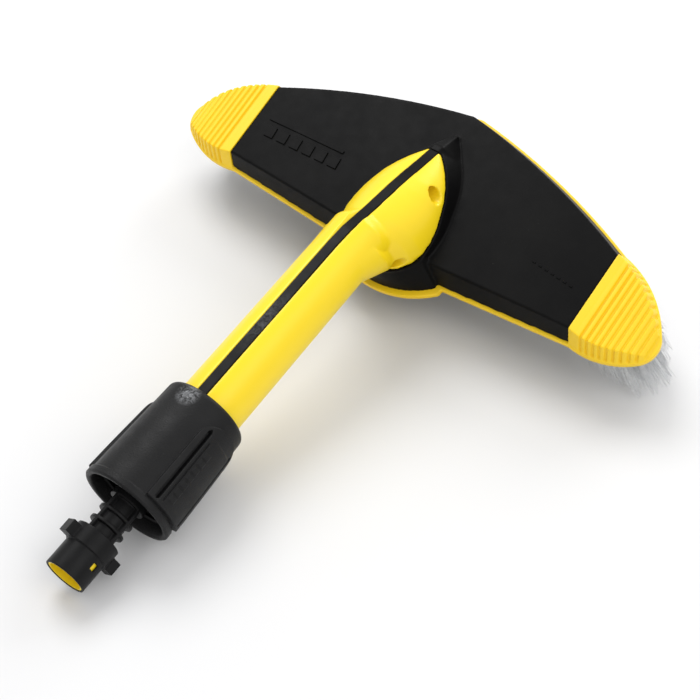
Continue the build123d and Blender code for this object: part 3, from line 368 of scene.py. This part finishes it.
s_out = np.concatenate((np.linspace(NUT_BACK, 171.6, 14), np.linspace(171.9, 225.2, 214),
                        np.linspace(225.4, NUT_FRONT, 26)))
angles = np.arange(0.0, 360.0, 0.5)
inner = [(NUT_FRONT, 22.6), (229.9, 21.9), (229.2, 21.5), (223.6, 21.4)]     # s and radius of the inside
for i in range(5):
    s0 = 223.2 - 3.0 * i        # thread ridges, 3 mm apart
    inner += [(s0, 21.35), (s0 - 0.35, 20.4), (s0 - 0.65, 20.3), (s0 - 0.95, 20.4), (s0 - 1.3, 21.35)]
inner += [(208.0, 21.4), (180.0, 21.4), (173.0, 21.4), (172.6, 21.2), (172.4, 20.8), (172.4, 17.7),
          (172.2, 17.4), (168.7, 17.4), (168.45, 17.6), (NUT_BACK, 18.0)]
ring_rows = []
cosines, sines = np.cos(np.radians(angles)), np.sin(np.radians(angles))
for s in s_out:
    r = nut_outside(s, angles)
    ring_rows.append(from_arm(np.stack((r * cosines, r * sines, np.full_like(r, s)), axis=1)))
for s, r in inner:
    ring_rows.append(from_arm(np.stack((r * cosines, r * sines, np.full_like(angles, s)), axis=1)))
piece_from("grip_nut", closed_tube("grip_nut", np.array(ring_rows)), "nut", "black_nut", ("union_nut",))


# Plain raised marks on the head: a bar over a row of blocks on one side, a row of dashes on the other.
top_tree = BVHTree.FromPolygons([v.co[:] for v in nodes["head_shell"].data.vertices],
                                [p.vertices[:] for p in nodes["head_shell"].data.polygons])


def top_height(x, y):
    """Height of the shell's outside over the head's base."""
    start = Vector(from_head(((x, y, 60.0),))[0])
    hit = top_tree.ray_cast(start, Vector(-HEAD_AXES[2]))[0]
    return float((np.array(hit) - HEAD_AT) @ HEAD_AXES[2]) / MM


def raised_block(corners, height, inset=0.6):
    """Points and faces of a small block with sloping sides, standing on the shell."""
    middle = np.mean(corners, axis=0)
    low, high = [], []
    for x, y in corners:
        z = top_height(x, y)
        low.append((x, y, z - 0.4))
        toward = (middle - (x, y)) / np.linalg.norm(middle - (x, y))
        high.append((x + toward[0] * inset, y + toward[1] * inset, z + height))
    points = from_head(np.array(low + high))
    faces = [(4, 5, 6, 7), (3, 2, 1, 0), (0, 1, 5, 4), (1, 2, 6, 5), (2, 3, 7, 6), (3, 0, 4, 7)]
    return points, faces


def marks(name, blocks, height):
    points, faces = [], []
    for corners in blocks:
        p, f = raised_block(np.array(corners), height)
        faces += [tuple(i + len(points) for i in face) for face in f]
        points += p.tolist()
    mesh = bpy.data.meshes.new(name)
    mesh.from_pydata(points, [], faces)
    mesh.update()
    return piece_from(name, mesh, "head", "black_shell")


left_blocks = [((-102.0, -0.3), (-50.5, 0.5), (-50.5, -1.0), (-102.0, -1.8))]
for i in range(6):
    x = -99.6 + 8.75 * i
    y = -4.4 + 0.1 * i
    left_blocks.append(((x, y), (x + 6.2, y + 0.1), (x + 6.9, y - 7.2), (x + 0.7, y - 7.3)))
right_blocks = []
for i in range(7):
    x = 74.0 + 3.9 * i
    y = -5.4 - 0.4 * i
    right_blocks.append(((x, y), (x + 2.6, y - 0.2), (x + 2.6, y - 1.6), (x, y - 1.4)))
marks("left_mark", left_blocks, 0.7)
marks("right_mark", right_blocks, 0.4)


# ---------------------------------------------------------------- bristles
field = nodes["bristle_field"]
field_tree = BVHTree.FromPolygons([v.co[:] for v in field.data.vertices],
                                  [p.vertices[:] for p in field.data.polygons])
TUFT_PITCH = 4.3
TUFT_R = 1.15
PER_TUFT = 32
GROUND = 0.0002                 # lowest middle of a hair, metres
ROOT_Z, ROOT_TEST_Z = -2.6, -2.9
TIP_Z = -34.3
tufts = []
row_height = TUFT_PITCH * math.sqrt(3.0) / 2.0
for row in range(-14, 22):
    for column in range(-36, 37):
        x = (column + 0.5 * (row % 2)) * TUFT_PITCH
        y = row * row_height
        hit = field_tree.ray_cast(Vector(from_head(((x, y, 10.0),))[0]), Vector(-HEAD_AXES[2]))[0]
        if hit is None:
            continue
        if float((np.array(hit) - HEAD_AT) @ HEAD_AXES[2]) / MM > ROOT_TEST_Z:
            tufts.append((x, y))
tufts = np.array(tufts)


def filaments(roots, tips, radius, bow):
    """Thin three-sided hairs from roots to tips, each bowed sideways a little."""
    count = len(roots)
    stations = np.array((0.0, 0.3, 0.6, 0.85, 1.0))
    sideways = rng.normal(0.0, 1.0, (count, 3)) * bow[:, None]
    verts = np.empty((count, len(stations), 3, 3))
    for k, t in enumerate(stations):
        centre = roots + (tips - roots) * t + sideways * (4.0 * t * (1.0 - t) + 0.5 * t * t)[..., None]
        taper = radius * (1.0 - 0.55 * t)
        for j in range(3):
            turn = 2.0 * math.pi * j / 3.0
            around = (np.cos(turn) * taper, np.sin(turn) * taper, 0.0 * taper)
            verts[:, k, j] = centre + np.stack(around, axis=1)
    points = from_head(verts.reshape(-1, 3))
    points[:, 2] = np.maximum(points[:, 2], GROUND)
    base = (np.arange(count) * len(stations) * 3)[:, None, None]
    ring = (np.arange(len(stations) - 1) * 3)[None, :, None]
    corner = np.arange(3)[None, None, :]
    a = base + ring + corner
    b = base + ring + (corner + 1) % 3
    quads = np.stack((a, b, b + 3, a + 3), axis=-1).reshape(-1, 4)
    ends = (base[:, 0, 0] + (len(stations) - 1) * 3)[:, None] + np.arange(3)[None, :]
    return points, quads, ends


roots = np.repeat(tufts, PER_TUFT, axis=0)
count = len(roots)
spin = rng.uniform(0.0, 2.0 * math.pi, count)
reach = np.sqrt(rng.uniform(0.0, 1.0, count))
spot = np.stack((np.cos(spin), np.sin(spin)), axis=1) * reach[:, None]
tuft_lean = np.repeat(rng.normal(0.0, 0.9, (len(tufts), 2)), PER_TUFT, axis=0)
root_points = np.column_stack((roots + spot * TUFT_R, np.full(count, ROOT_Z)))
# The bristles splay at the right end. Along the near edge and at the left end they stand straight,
# down to the ground.
splay = step(roots[:, 0], 112.0, 22.0)
near_edge = np.clip((8.0 - roots[:, 1]) / 33.0, 0.0, 1.0)
far_edge = np.clip((roots[:, 1] - 10.0) / 39.0, 0.0, 1.0)
left_end = np.clip(-roots[:, 0] - 100.0, 0.0, 30.0) / 30.0
out_x = 13.0 * splay * roots[:, 0] / 144.0 - 1.5 * (1.0 - splay) * left_end
out_y = 8.0 * far_edge + near_edge * (1.0 - 7.0 * splay)
wander = 0.45 + 0.55 * splay[:, None]
spread = roots + np.column_stack((out_x, out_y))
tips_at = spread + (spot * 2.3 + tuft_lean + rng.normal(0.0, 0.55, (count, 2))) * wander
tip_z = TIP_Z + 3.0 * splay - 3.4 * near_edge ** 2 * (1.0 - splay) + rng.normal(0.0, 0.8, count)
tip_points = np.column_stack((tips_at, tip_z))
thick = rng.uniform(0.10, 0.15, count)
points, quads, ends = filaments(root_points, tip_points, thick, np.abs(rng.normal(0.0, 0.7, count)))
mesh = bpy.data.meshes.new("tufts")
mesh.vertices.add(len(points))
mesh.vertices.foreach_set("co", points.ravel())
total = len(quads) * 4 + len(ends) * 3
mesh.loops.add(total)
mesh.loops.foreach_set("vertex_index", np.concatenate((quads.ravel(), ends.ravel())))
mesh.polygons.add(len(quads) + len(ends))
mesh.polygons.foreach_set("loop_start", np.concatenate((np.arange(len(quads)) * 4,
                                                        len(quads) * 4 + np.arange(len(ends)) * 3)))
mesh.update(calc_edges=True)
mesh.validate()
smooth(mesh)
piece_from("tufts", mesh, "head", "bristles", ("bristle_field",))


# ---------------------------------------------------------------- floor, light and camera
LIGHT_AIM = (0.0, 0.02, 0.04)


def area_light(name, place, size, power):
    """Round soft light aimed at the brush."""
    data = bpy.data.lights.new(name, "AREA")
    data.shape = "DISK"
    data.size = size
    data.energy = power
    obj = bpy.data.objects.new(name, data)
    bpy.context.scene.collection.objects.link(obj)
    obj.location = place
    obj.rotation_euler = (Vector(LIGHT_AIM) - Vector(place)).to_track_quat("-Z", "Y").to_euler()


floor_mesh = bpy.data.meshes.new("floor")
floor_mesh.from_pydata([(-6, -6, 0), (6, -6, 0), (6, 6, 0), (-6, 6, 0)], [], [(0, 1, 2, 3)])
floor = bpy.data.objects.new("floor", floor_mesh)
bpy.context.scene.collection.objects.link(floor)
m = Nodes("floor")
pale = m.mix(m.ramp(m.noise(3.0), 0.0, 1.0), (0.74, 0.74, 0.745), (0.77, 0.77, 0.775))
m.link(pale, m.shader.inputs["Base Color"])
m.shader.inputs["Roughness"].default_value = 0.9
floor.data.materials.append(m.material)

world = bpy.data.worlds.new("studio")
world.use_nodes = True
world.node_tree.nodes["Background"].inputs["Color"].default_value = (1.0, 1.0, 1.0, 1.0)
world.node_tree.nodes["Background"].inputs["Strength"].default_value = 0.75
bpy.context.scene.world = world
area_light("key", (-0.9, 0.5, 1.5), 1.1, 16.0)
area_light("fill", (1.1, -0.2, 1.2), 1.4, 6.0)
area_light("back", (0.1, 1.3, 0.8), 0.9, 6.0)

# Camera in the head frame: where it is, and its right, down and forward directions.
CAMERA_AT = (435.97, -284.144, 877.852)
CAMERA_ROWS = np.array(((0.789411, 0.557164, -0.257679),
                        (0.441702, -0.807054, -0.391872),
                        (-0.426298, 0.195531, -0.883197)))
SENSOR = 36.0                   # mm
LENS = 1923.893 * SENSOR / 700.0    # focal length in pixels, on a picture 700 pixels wide
right, down, ahead = CAMERA_ROWS @ HEAD_AXES
camera_data = bpy.data.cameras.new("camera")
camera_data.sensor_width = SENSOR
camera_data.lens = LENS
camera_data.clip_end = 50.0
camera = bpy.data.objects.new("camera", camera_data)
bpy.context.scene.collection.objects.link(camera)
axes = Matrix((right, -down, -ahead)).transposed().to_4x4()
axes.translation = Vector(from_head((CAMERA_AT,))[0])
camera.matrix_world = axes
bpy.context.scene.camera = camera
bpy.context.scene.view_settings.view_transform = "Standard"

bpy.context.view_layer.update()
